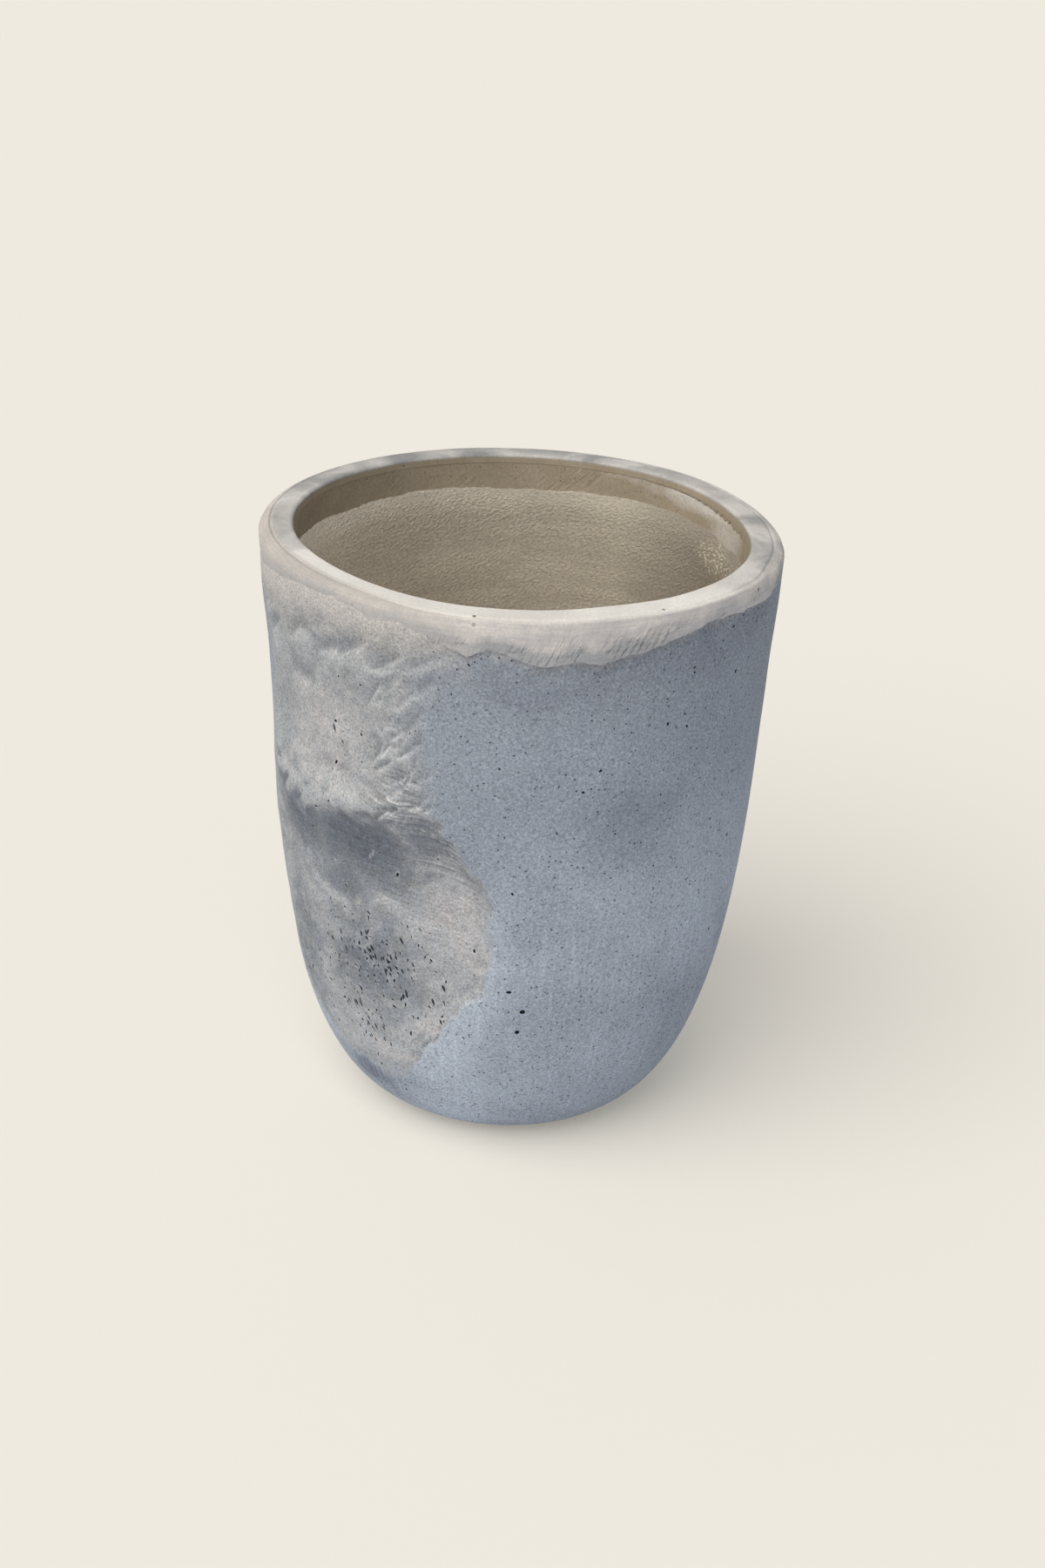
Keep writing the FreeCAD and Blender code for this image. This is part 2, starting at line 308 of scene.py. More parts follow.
shell = draw_line("cast_shell_finish", shell_line, shell_rows)
last = len(shell.data.vertices) - 1
extrude_on(shell, 0, foot_stops)
extrude_on(shell, last, inner_stops)
spin_round(shell, spins)

# The edge of the hewing is divided once more, so that single strokes show
middles = np.array([side.center for side in shell.data.polygons])
turns, levels = turn_and_level(middles)
from_edge = np.interp(levels, *zip(*hewn_right)) - turns
fine = (np.hypot(middles[:, 0], middles[:, 1]) > np.interp(levels, [0, 120, 523], [60, 178, 212]) * mm)
fine &= (levels > 80) & (levels < 512) & (from_edge > -3) & (from_edge < np.where(levels > 325, 22, 9))
bpy.ops.object.mode_set(mode="EDIT")
bpy.ops.mesh.select_mode(type="FACE")
bpy.ops.mesh.select_all(action="DESELECT")
mesh = bmesh.from_edit_mesh(shell.data)
mesh.faces.ensure_lookup_table()
for index in np.nonzero(fine)[0]:
    mesh.faces[index].select_set(True)
bmesh.update_edit_mesh(shell.data)
bpy.ops.mesh.subdivide(number_cuts=1)
bpy.ops.object.mode_set(mode="OBJECT")

places = points_of(shell)
radii = radii_of(places)
levels = places[:, 2] / mm
weigh(shell, "moulded", ((radii > 100.5) | ((levels > 30) & (radii > 92))).astype(float))
modify(shell, "SHRINKWRAP", target=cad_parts["cast_shell"], vertex_group="moulded")
places = points_of(shell)
radii = radii_of(places)
turns, levels = turn_and_level(places)
face = (outward(shell, places) > 0.15) & (radii > 104) & (levels < 521)
weigh(shell, "face", face.astype(float))
modify(shell, "SMOOTH", factor=0.5, iterations=4, vertex_group="face")

# Where the rim coat will end: the edge of its solid, with the scallops that the trowel left in front
front_edge = [(230, 511), (238, 506), (244, 513), (251, 511), (256, 503), (260, 499), (264, 504), (267, 501),
              (270, 497), (273, 494), (277, 493), (282, 496), (287, 491), (290, 494), (293, 498), (296, 499),
              (300, 502), (306, 508), (312, 513), (319, 512), (327, 511), (332, 510), (338, 512), (345, 513)]
coat_edge = edge_levels("rim_coat", True, lambda radius, level: radius > 208)
coat_edge = evened(coat_edge, 13)
even = np.arange(720) / 2
in_front = ease(even, 230, 240) * (1 - ease(even, 334, 345))
coat_edge = coat_edge * (1 - in_front) + np.interp(even, *zip(*front_edge)) * in_front

# The hewing: broad uneven rubbing, then single strokes that crowd along the upper edge and under the rim.
# Strokes are degrees and level, length and width in mm, slope in degrees and depth in mm.
crescents = [(243, 417, 24, 12, 40, 3.2), (246, 406, 28, 12, 36, 3.6), (249, 415, 22, 10, 44, 3.0),
             (240, 345, 26, 11, 44, 2.8), (242.5, 349, 20, 10, 46, 2.2), (233, 293, 16, 9, 50, 2.2),
             (240, 402, 22, 12, 50, 2.4)]
strokes = crescents + [(245, 458, 48, 28, 46, 6.0), (240, 484, 48, 28, 34, 5.6), (250, 490, 40, 22, 26, 4.6),
                       (237, 398, 36, 18, 60, 3.6), (246, 434, 46, 26, 52, 5.4), (250, 468, 34, 20, 40, 4.4),
                       (231, 488, 48, 26, 30, 4.6), (244, 384, 40, 20, 38, 4.2), (250, 388, 30, 16, 34, 3.2),
                       (222, 478, 54, 30, 24, 3.4), (236, 452, 44, 24, 56, 3.4)]
draw = random.Random(8)
for k in range(46):
    height = draw.uniform(352, 505)
    middle = np.interp(height, *zip(*hewn_right)) - abs(draw.gauss(0, 7))
    strokes.append((middle, height, draw.uniform(14, 40), draw.uniform(8, 22), draw.gauss(42, 20),
                    draw.uniform(0.8, 3.2)))
for k in range(18):
    strokes.append((draw.uniform(190, 246), draw.uniform(440, 515), draw.uniform(34, 66), draw.uniform(20, 36),
                    draw.gauss(35, 40), draw.uniform(0.9, 2.2)))
for k in range(22):
    strokes.append((draw.uniform(200, 250), draw.uniform(262, 345), draw.uniform(14, 34), draw.uniform(9, 16),
                    draw.gauss(48, 14), draw.uniform(0.5, 1.5)))
for k in range(40):
    height = draw.uniform(95, 330)
    middle = np.interp(height, *zip(*hewn_right)) - abs(draw.gauss(0, 5))
    strokes.append((middle, height, draw.uniform(9, 22), draw.uniform(5, 9), draw.gauss(75, 18),
                    draw.uniform(0.3, 1.0)))
hollows = []  # under the coat's edge, with their steep side up against it
for middle in range(252, 342, 6):
    spot = middle + draw.uniform(-2, 2)
    hollows.append((spot, at_turn(coat_edge, spot) - 7, draw.uniform(28, 46), draw.uniform(16, 26),
                    180 + draw.gauss(8, 10), draw.uniform(1.8, 3.4)))
hewn, in_from_right = hewn_share(places, 1)
hewn = hewn * face
coated_front = ease(turns, 246, 258) * (1 - ease(turns, 330, 342))
over_edge = levels - at_turn(coat_edge, turns)
under_coat = ease(over_edge, -18 + 20 * coated_front, -2 + 10 * coated_front)
deeper = patches(places, [(232, 284, 84, 58, 6.5), (244, 242, 84, 104, 4.4), (219, 398, 92, 72, 3.4),
                          (228, 160, 84, 80, 2.2)], 6)
fold = 4.2 * np.clip(in_from_right / 17, 0, 1) * (1 - ease(in_from_right, 17, 80)) * ease(levels, 120, 190)
fold = fold * (1 - ease(levels, 335, 365))
ridge = patches(places, [(234, 350, 90, 17, 2.2), (251, 375, 26, 34, 1.2), (249, 436, 16, 40, 1.0)], 5)
relief = (1 - 0.7 * hewn) * (0.9 * ripple(places, 130, 3) + 0.25 * ripple(places, 45, 4))
relief += hewn * (1.0 * ripple(places, 42, 5) + 0.5 * ripple(places, 19, 6) + 0.35 * ripple(places, 8, 7) - 1.2)
cut, _ = scoops_at(places, strokes)
under, _ = scoops_at(places, hollows)
relief += hewn * (ridge - deeper - fold) - cut * ease(hewn, 0, 0.25) - under * (1 - hewn)
swell = 1.9 * (1 - coated_front) * ease(levels, 415, 494) * (1 - ease(over_edge, 2, 16))
deepest, proudest = 10, 2.0  # mm that the tool took away at most, and left standing
relief = np.minimum(deepest * np.tanh(relief / deepest), proudest) * (1 - under_coat) + swell
push(shell, relief * face)

# The bare wall inside meets the coat's lip flush, as it was trowelled over
lip_level = 525
lip_radius = at_turn(hit_radius("rim_coat", all_round, 0 * all_round + lip_level, False), turns)
inner_wall = (outward(shell, places) < -0.4) & (radii > 185)
inwards = np.clip(radii - lip_radius - 0.1, 0, 3) * inner_wall * ease(levels, 470, 503)
places = points_of(shell)
places[:, :2] *= (1 - inwards / np.maximum(radii, 1))[:, None]
move_to(shell, places)


def shade(code):
    """An sRGB hex colour as linear RGBA."""
    parts = [int(code[k:k + 2], 16) / 255 for k in (1, 3, 5)]
    return [part / 12.92 if part <= 0.04045 else ((part + 0.055) / 1.055) ** 2.4 for part in parts] + [1.0]


def add(tree, kind, inputs=None, **settings):
    """Adds a shader node with its settings; an input is a value, a socket, or a node's first live output."""
    made = tree.nodes.new("ShaderNode" + kind)
    for name, value in settings.items():
        setattr(made, name, value)
    for name, value in (inputs or {}).items():
        if isinstance(value, bpy.types.Node):
            value = next(socket for socket in value.outputs if socket.enabled)
        if isinstance(value, bpy.types.NodeSocket):
            tree.links.new(value, made.inputs[name])
        else:
            made.inputs[name].default_value = value
    return made


def mix(tree, share, colour, other, how="MIX"):
    """Mixes a share of another colour into a colour, or multiplies it in; each is a socket or an sRGB hex code."""
    colour, other = [shade(side) if isinstance(side, str) else side for side in (colour, other)]
    return add(tree, "Mix", {0: share, 6: colour, 7: other}, data_type="RGBA", blend_type=how)


def remap(tree, value, low, high, to_low=0.0, to_high=1.0, clamp=True):
    """Maps the range from low to high onto another one, 0 to 1 where none is given."""
    return add(tree, "MapRange", {"Value": value, "From Min": low, "From Max": high, "To Min": to_low,
                                  "To Max": to_high}, clamp=clamp)


def calc(tree, operation, one, other):
    """One sum on two values."""
    return add(tree, "Math", {0: one, 1: other}, operation=operation)


def times(tree, one, other):
    """The product of two values."""
    return calc(tree, "MULTIPLY", one, other)


def lumps(tree, place, size, detail, roughness=0.5, distortion=0.0):
    """Noise with lumps of that size in mm."""
    return add(tree, "TexNoise", {"Vector": place, "Scale": 1000 / size, "Detail": detail, "Roughness": roughness,
                                  "Distortion": distortion})


def laid(tree, wrap, wide, tall, lean=0):
    """The unrolled surface, measured in marks so wide and tall in mm that lean by so many degrees."""
    return add(tree, "Mapping", {"Vector": wrap, "Scale": (wide * mm, tall * mm, 1.0),
                                 "Rotation": (0.0, 0.0, math.radians(lean))}, vector_type="TEXTURE")


def flat_lumps(tree, marks, detail, roughness=0.5, distortion=0.0, scale=1.0):
    """Noise on the unrolled surface, one lump to a mark."""
    return add(tree, "TexNoise", {"Vector": marks, "Scale": scale, "Detail": detail, "Roughness": roughness,
                                  "Distortion": distortion}, noise_dimensions="2D")


def dent(tree, height, strength, depth, under=None):
    """A bump of that depth in mm, on top of another one if there is one."""
    inputs = {"Height": height, "Strength": strength, "Distance": depth * mm}
    return add(tree, "Bump", inputs | ({"Normal": under} if under else {}))


def noted(tree, *names):
    """The shares that are kept on a piece, by name."""
    return {name: add(tree, "Attribute", attribute_name=name).outputs["Fac"] for name in names}


def surface(tree, inputs):
    """The surface that comes out of a tree."""
    add(tree, "OutputMaterial", {"Surface": add(tree, "BsdfPrincipled", inputs)})


def new_material(name):
    """An empty material; returns it and its tree."""
    made = bpy.data.materials.new(name)
    made.use_nodes = True
    made.node_tree.nodes.clear()
    return made, made.node_tree


# Cast concrete: cement paste against a smooth mould gives a matt blue-grey skin, clouded where the water
# content changed, with painted shade low on the underside at the left and right, and darker towards the
# top under the rim, with sand grains and pinholes as fine specks. Where it was hewn it is as grey but drier,
# with painted light on the walls that face the key light, wear and a painted highlight on the ridges, a
# painted highlight on the crescents' sharp edges, dirt and painted shade in the hollows and under the ridge,
# and pits low down that are painted near black as the shade inside them.
concrete, tree = new_material("cast_concrete")
place = add(tree, "TexCoord").outputs["Object"]
wrap = add(tree, "UVMap", uv_map="wrap").outputs["UV"]
share = noted(tree, "hewn", "inside", "pale", "dirt_and_shade", "brushed", "pitted", "lit_edge", "raised", "sunk", "clouded_and_shaded",
              "smeared_and_shadowed", "powdered")

cloud = remap(tree, lumps(tree, place, 170, 3.0, 0.5), 0.38, 0.64)
skin = mix(tree, cloud, "#b0b6bc", "#9fa4aa")
blotch = lumps(tree, place, 55, 5.0, distortion=0.5)
blotch_tone = remap(tree, blotch, 0.36, 0.6, 0.25, 1.0)
blotch = remap(tree, blotch, 0.5, 0.72, 0.0, 0.5)
skin = mix(tree, blotch, skin, "#94999f")
height = add(tree, "SeparateXYZ", {"Vector": place}).outputs["Z"]
# darker towards the top, under the rim
darkened = remap(tree, height, 0.22, 0.5, 0.0, 0.8)
skin = mix(tree, darkened, skin, "#84878b")
# darker where the concrete is clouded, and painted shade low on the right and on the left underside
wet_and_shade = times(tree, share["clouded_and_shaded"], blotch_tone)
skin = mix(tree, wet_and_shade, skin, "#757982")
drips = remap(tree, flat_lumps(tree, laid(tree, wrap, 5, 120), 3.0), 0.56, 0.74, 0.0, 0.3)
low = remap(tree, height, 0.34, 0.22)
drips = times(tree, drips, low)
skin = mix(tree, drips, skin, "#c3c7cd")

rough = lumps(tree, place, 38, 5.0, 0.6)
rough_tone = remap(tree, rough, 0.36, 0.64)
cut = mix(tree, rough_tone, "#aba9a5", "#989792")
mottle = remap(tree, lumps(tree, place, 14, 6.0, 0.68), 0.3, 0.7, -0.17, 0.17, clamp=False)
# paler where the hewn concrete is drier, and painted light on the walls and the ridge that face the key light
dry_and_lit = remap(tree, calc(tree, "ADD", mottle, share["pale"]), 0.22, 1.05)
cut = mix(tree, dry_and_lit, cut, "#bfb8b2")
# dirt, and painted shade under the ridge and in the hollows of the hewn side
stain_and_shade = remap(tree, calc(tree, "SUBTRACT", share["dirt_and_shade"], mottle), 0.15, 0.95)
cut = mix(tree, stain_and_shade, cut, "#565a5e")
# wear and a painted highlight on the ridges
worn_and_highlit = remap(tree, share["raised"], 0.0, 1.0, 0.0, 0.6)
cut = mix(tree, worn_and_highlit, cut, "#c9c6c1")
# dust and painted shade in the hollows
dust_and_shade = remap(tree, share["sunk"], 0.0, 1.0, 0.0, 0.55)
cut = mix(tree, dust_and_shade, cut, "#63666a")
# painted highlight on the crescents' sharp edges
cut = mix(tree, share["lit_edge"], cut, "#d2d0cc")
streak = flat_lumps(tree, laid(tree, wrap, 60, 4.2, -5), 3.0, distortion=0.4)
streak_tone = remap(tree, streak, 0.36, 0.64, 0.62, 1.25)
cut = mix(tree, share["brushed"], cut, streak_tone, "MULTIPLY")

broken = remap(tree, mottle, -0.17, 0.14, 0.6, 1.0)
broken = times(tree, share["hewn"], broken)
colour = mix(tree, broken, skin, cut)
powder = remap(tree, calc(tree, "ADD", mottle, share["powdered"]), 0.12, 1.05)
colour = mix(tree, powder, colour, "#bdb5ab")
scratch = flat_lumps(tree, laid(tree, wrap, 30, 3, -40), 3.0)
marked = remap(tree, lumps(tree, place, 70, 2.0), 0.48, 0.62)
marked = times(tree, marked, share["inside"])
bare_wall = mix(tree, rough_tone, "#a39680", "#ad9f8a")
scratch_tone = remap(tree, scratch, 0.3, 0.7, 0.84, 1.12)
bare_wall = mix(tree, marked, bare_wall, scratch_tone, "MULTIPLY")
smear_and_shadow = remap(tree, calc(tree, "ADD", mottle, share["smeared_and_shadowed"]), 0.35, 0.95)
bare_wall = mix(tree, smear_and_shadow, bare_wall, "#cfc7bc")
colour = mix(tree, share["inside"], colour, bare_wall)

# The sand: grains of about a millimetre, drawn a little coarser so that they show
grain = lumps(tree, place, 2.1, 3.0, 0.8)
grain_tone = remap(tree, grain, 0.32, 0.68, 0.62, 1.34)
even = remap(tree, share["inside"], 0.0, 1.0, 1.0, 0.4)
colour = mix(tree, even, colour, grain_tone, "MULTIPLY")
plain = remap(tree, calc(tree, "MAXIMUM", share["inside"], share["hewn"]), 0.0, 1.0, 1.0, 0.5)
specks = add(tree, "TexVoronoi", {"Vector": place, "Scale": 1000 / 4.6})
speck = remap(tree, specks.outputs["Distance"], 0.24, 0.14)
chosen = add(tree, "SeparateColor", {"Color": specks.outputs["Color"]})
chosen = remap(tree, chosen.outputs["Red"], 0.74, 0.76)
speck = times(tree, speck, chosen)
speck = times(tree, speck, plain)
colour = mix(tree, speck, colour, "#4a4c50")
dots = add(tree, "TexVoronoi", {"Vector": place, "Scale": 1000 / 3.2})
dot = remap(tree, dots.outputs["Distance"], 0.34, 0.2, 0.0, 0.7)
chosen = add(tree, "SeparateColor", {"Color": dots.outputs["Color"]})
dark = remap(tree, chosen.outputs["Green"], 0.84, 0.86)
dot = times(tree, dot, plain)
dark = times(tree, dot, dark)
colour = mix(tree, dark, colour, "#5c5f64")
light = remap(tree, chosen.outputs["Green"], 0.14, 0.12)
light = times(tree, dot, light)
light = times(tree, light, 0.4)
colour = mix(tree, light, colour, "#cfd1d3")
pit_map = laid(tree, wrap, 4.8, 14, 24)
pits = add(tree, "TexVoronoi", {"Vector": pit_map, "Scale": 1.0, "Randomness": 1.0}, voronoi_dimensions="2D")
chosen = add(tree, "SeparateColor", {"Color": pits.outputs["Color"]})
pit_size = remap(tree, chosen.outputs["Blue"], 0.0, 1.0, 0.08, 0.34)
pit = remap(tree, calc(tree, "DIVIDE", pits.outputs["Distance"], pit_size), 1.1, 0.6)
crowd = remap(tree, lumps(tree, place, 22, 3.0), 0.35, 0.62)
many = times(tree, crowd, share["pitted"])
many = times(tree, chosen.outputs["Green"], many)
chosen = remap(tree, many, 0.28, 0.32)
pit = times(tree, pit, chosen)
# the pits are painted near black: painted shade inside them
colour = mix(tree, pit, colour, "#2c2d30")

bump = dent(tree, grain, 0.4, 0.7)
streak_depth = times(tree, streak, share["brushed"])
bump = dent(tree, streak_depth, 0.9, 2.0, bump)
scratch_depth = times(tree, scratch, marked)
bump = dent(tree, scratch_depth, 0.7, 1.2, bump)
crumbs = lumps(tree, place, 5.5, 3.0, 0.6)
crumb_depth = times(tree, crumbs, share["hewn"])
bump = dent(tree, crumb_depth, 0.5, 1.2, bump)
pit_depth = calc(tree, "SUBTRACT", 1.0, pit)
bump = dent(tree, pit_depth, 0.6, 1.0, bump)
surface(tree, {"Base Color": colour, "Roughness": 0.9, "Specular IOR Level": 0.25, "Normal": bump})

# Air hole: the shaded inside of a bubble in the paste, near black at this size
bubble, tree = new_material("air_hole_in_concrete")
place = add(tree, "TexCoord").outputs["Object"]
dust = lumps(tree, place, 1.5, 2.0)
dust = mix(tree, dust, "#1b1c1f", "#3a3c40")
surface(tree, {"Base Color": dust, "Roughness": 0.95, "Specular IOR Level": 0.1})

shell.data.materials.append(concrete)

# Cutters: the drain hole, the seat of its collar, the drain recess and the four pad sockets
drain_radius, collar_radius, recess_radius, socket_radius, pad_ring = 17.2, 26.2, 52, 15.3, 75
cuts = [(drain_radius, -5, 40, 0, 0), (collar_radius, 32.5, 40, 0, 0), (recess_radius, -5, 7.5, 0, 0)]
for k in range(4):
    angle = math.radians(45 + 90 * k)
    cuts.append((socket_radius, -5, 4, pad_ring * math.cos(angle), pad_ring * math.sin(angle)))
for radius, bottom, top, x, y in cuts:
    bare()
    bpy.ops.mesh.primitive_cylinder_add(vertices=72, radius=radius * mm, depth=(top - bottom) * mm,
                                        location=(x * mm, y * mm, (top + bottom) / 2 * mm))
    cutter = bpy.context.object
    cutter.data.materials.append(concrete)
    modify(shell, "BOOLEAN", operation="DIFFERENCE", object=cutter, solver="MANIFOLD")
    bpy.data.objects.remove(cutter)

# Air holes: one bubble is modelled and copied at its places; degrees, level, width in mm and how much longer
# than wide. On the cast face they lie any way, and low on the hewn side they are slits, mostly upright.
air_holes = [(274.5, 170, 4.6, 1.1, 0), (273.5, 147.5, 4.2, 1.1, 60), (271, 191, 3.2, 1.5, 0),
             (288.5, 399, 2.2, 1.6, 30), (285, 381, 2.4, 1.2, 0)]
draw = random.Random(5)
for k in range(240):
    size = draw.choice([1.1, 1.2, 1.3, 1.4, 1.5, 1.6, 1.8, 2.1, 2.5])
    air_holes.append((draw.uniform(0, 360), draw.uniform(24, 500), size, draw.uniform(1, 1.9),
                      draw.uniform(0, 180)))
for k in range(150):
    air_holes.append((draw.gauss(231, 13), draw.gauss(168, 40), draw.uniform(1.0, 2.0), draw.uniform(1.5, 3.2),
                      draw.gauss(108, 20)))
bare()
bpy.ops.mesh.primitive_ico_sphere_add(subdivisions=2, radius=0.5)
bpy.ops.object.mode_set(mode="EDIT")
bpy.ops.mesh.select_all(action="SELECT")
bpy.ops.transform.vertex_random(offset=0.07, seed=3)
bpy.ops.object.mode_set(mode="OBJECT")
hole = bpy.context.object
form = points_of(hole)
corners = [list(side.vertices) for side in hole.data.polygons]
bpy.data.objects.remove(hole)
hole_points, hole_faces, taken = [], [], []
bpy.context.view_layer.update()
for turn, level, size, longer, lie in air_holes:
    way = Vector((math.cos(math.radians(turn)), math.sin(math.radians(turn)), 0))
    hit, spot, normal, _ = shell.ray_cast(way * sight_start + Vector((0, 0, level * mm)), -way)
    reach = 0.6 * size * longer * mm
    if not hit or any((spot - other).length < reach + room for other, room in taken):
        continue
    taken.append((spot, reach))
    stretch = Matrix.Diagonal((size * longer * mm, size * mm, size * 1.2 * mm))
    seat = normal.to_track_quat("Z", "Y").to_matrix() @ Matrix.Rotation(math.radians(lie), 3, "Z") @ stretch
    start = len(hole_points)
    hole_points += [spot - normal * 0.12 * size * mm + seat @ Vector(point) for point in form]
    hole_faces += [[start + corner for corner in side] for side in corners]
holes = bpy.data.meshes.new("air_holes")
holes.from_pydata(hole_points, [], hole_faces)
holes.materials.append(bubble)
cutter = bpy.data.objects.new("air_holes", holes)
bpy.context.scene.collection.objects.link(cutter)
modify(shell, "BOOLEAN", operation="DIFFERENCE", object=cutter, solver="MANIFOLD", material_mode="TRANSFER")
bpy.data.objects.remove(cutter)


def wrap_round(piece, radius, lean):
    """Unrolls a piece into a UV map in metres: along the round at a radius, and along its outline, as level plus
    or minus distance from the middle line. The seam is at the back."""
    places = points_of(piece)
    loops = np.empty(len(piece.data.loops), np.int32)
    piece.data.loops.foreach_get("vertex_index", loops)
    starts = np.empty(len(piece.data.polygons), np.int32)
    piece.data.polygons.foreach_get("loop_start", starts)
    counts = np.empty(len(piece.data.polygons), np.int32)
    piece.data.polygons.foreach_get("loop_total", counts)
    along = ((np.arctan2(places[:, 1], places[:, 0]) - math.pi / 2) % (2 * math.pi))[loops]
    first = np.repeat(along[starts], counts)
    along -= np.round((along - first) / (2 * math.pi)) * 2 * math.pi
    rise = places[:, 2] + lean * np.hypot(places[:, 0], places[:, 1])
    pairs = np.stack([along * radius * mm, rise[loops]], 1)
    piece.data.uv_layers.new(name="wrap").data.foreach_set("uv", pairs.astype(np.float32).ravel())


def note(piece, name, shares):
    """Keeps a share for each point of a piece as an attribute that its material reads."""
    piece.data.attributes.new(name, "FLOAT", "POINT").data.foreach_set("value", shares.astype(np.float32))


def stand_out(piece, rounds):
    """How far in mm each point stands out from the smoothed surface around it; below 0 it lies in a hollow."""
    pairs = np.empty(2 * len(piece.data.edges), np.int32)
    piece.data.edges.foreach_get("vertices", pairs)
    one, other = pairs.reshape(-1, 2).T
    places = points_of(piece)
    total = len(places)
    share = np.maximum(np.bincount(one, minlength=total) + np.bincount(other, minlength=total), 1)
    smooth = places.copy()
    for k in range(rounds):
        for axis in range(3):
            sums = np.bincount(one, smooth[other, axis], total) + np.bincount(other, smooth[one, axis], total)
            smooth[:, axis] = sums / share
    return ((places - smooth) * normals_of(piece)).sum(1) / mm


shell.vertex_groups.clear()
wrap_round(shell, 215, 1)
places = points_of(shell)
turns, levels = turn_and_level(places)
inside = ((outward(shell, places) < -0.15) & (levels > 30)).astype(float)
note(shell, "inside", inside)
hewn, _ = hewn_share(places, 1.3)
hewn = hewn * (1 - inside)
note(shell, "hewn", hewn)
# how far each point stands out: ridges get wear and a painted highlight, hollows dust and painted shade
stands_out = stand_out(shell, 10)
note(shell, "raised", hewn * np.clip(stands_out / 0.6, 0, 1))
note(shell, "sunk", hewn * np.clip(-stands_out / 0.6, 0, 1))
over_edge = levels - at_turn(coat_edge, turns)
at_left = ease(turns, 168, 190) * (1 - ease(turns, 246, 266))
powdered = at_left * ease(over_edge, -46, 4) + 0.5 * (1 - at_left) * ease(over_edge, -14, 2)
note(shell, "powdered", (1 - inside) * powdered)
note(shell, "smeared_and_shadowed", inside * patches(places, [(34, 516, 110, 14, 1.0), (20, 508, 60, 18, 0.9),
                                                 (60, 520, 60, 10, 0.6)], 5))
# the last two patches, low on the right and on the left underside, are painted shade; the rest is clouding
note(shell, "clouded_and_shaded", (1 - hewn) * patches(places, [(294, 350, 50, 56, 0.6), (302, 318, 40, 36, 0.4),
                                                     (308, 490, 120, 26, 0.5), (276, 472, 60, 24, 0.3),
                                                     (328, 160, 100, 110, 0.35),
                                                     (224, 54, 120, 44, 1.0)], 14))
# Pale patches: drier concrete, with painted light on the lower hollow's right wall and the chipped ridge. Dirty
# patches: dirt, with painted shade under the ridge where the lower hollow's roof faces down.
stains_and_painted_light = {
    "pale": [(220, 388, 75, 66, 0.9), (246, 455, 22, 34, 1.0), (241, 412, 16, 42, 0.7), (236, 374, 30, 25, 0.5),
             (257, 245, 50, 54, 1.0), (262, 212, 30, 46, 0.6), (236, 100, 60, 22, 0.9), (252, 138, 36, 20, 0.8),
             (216, 510, 120, 20, 0.7)],
    "dirt_and_shade": [(231, 298, 84, 54, 1.1), (250, 328, 45, 26, 0.7), (224, 245, 56, 64, 0.8), (232, 180, 84, 70, 0.9),
              (208, 302, 58, 66, 1.0), (205, 160, 50, 100, 0.75)],
    "brushed": [(247, 358, 64, 36, 1.2), (256, 320, 54, 56, 0.9), (232, 296, 70, 50, 0.6),
                (250, 262, 80, 80, 0.35)],
    "pitted": [(226, 205, 48, 64, 1.0), (240, 180, 64, 48, 0.95), (228, 120, 54, 44, 0.9), (250, 165, 44, 38, 0.8),
               (250, 110, 44, 30, 0.7), (224, 385, 26, 32, 0.6)],
}
for name, spots in stains_and_painted_light.items():
    note(shell, name, hewn * patches(places, spots, 13))
# painted highlight along the crescents' sharp edges
_, lit_edge = scoops_at(places, crescents)
note(shell, "lit_edge", hewn * np.clip(lit_edge / 3.2, 0, 0.75))
smooth_up_to(shell, 40)
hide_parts("cast_shell")
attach(shell, "pot")

# Rim coat
# A pale cement render, trowelled over the rim by hand to close and level it. It laps down the outside to
# a ragged edge, scooped here and there by the trowel's nose, and ends in a short lip inside.
coat_line = [
    ((224.2, 500), (224.1, 497), (224.6, 507)),
    ((225.0, 519), (225.0, 514), (225.0, 522.6)),
    ((221.4, 527.0), (223.7, 525.1), (219.8, 528.3)),
    ((216.8, 529.5), (218.2, 529.3), (216.3, 529.5)),
    ((215.2, 528.8), (215.7, 528.8), (214.7, 528.8)),
    ((213.0, 530), (213.9, 529.9), (210.0, 530)),
    ((199.4, 530), (206, 530), (198.0, 530)),
    ((196.1, 527.2), (196.1, 528.9), (196.0, 524)),
    ((195.7, 517), (195.7, 520), (195.7, 516)),
]
coat_rows = 10
rim_radius, skirt_top, skirt_drawn = 225, 519, 19  # the skirt is drawn that far down from its top
lip_top, lip_drawn, lip_drawn_radius = 523, 6, 196.05
shoulder, chamfer = 521, 527  # levels at which the outside is measured and the top starts to round off
coat_back = [(197.3, 517), (197.3, 523), (222.7, 523), (221.6, 500)]
coat_turns = [(150, 170), (180, 360), (30, 34)]


def close_line(piece):
    """Joins the two ends of a drawn line, so that it turns into a closed ring."""
    bpy.ops.object.mode_set(mode="EDIT")
    mesh = bmesh.from_edit_mesh(piece.data)
    for vert in mesh.verts:
        vert.select_set(len(vert.link_edges) == 1)
    mesh.select_flush(True)
    bmesh.update_edit_mesh(piece.data)
    bpy.ops.mesh.edge_face_add()
    bpy.ops.object.mode_set(mode="OBJECT")


coat = draw_line("rim_coat_finish", coat_line, coat_rows)
extrude_on(coat, -1, coat_back)
close_line(coat)
spin_round(coat, coat_turns)

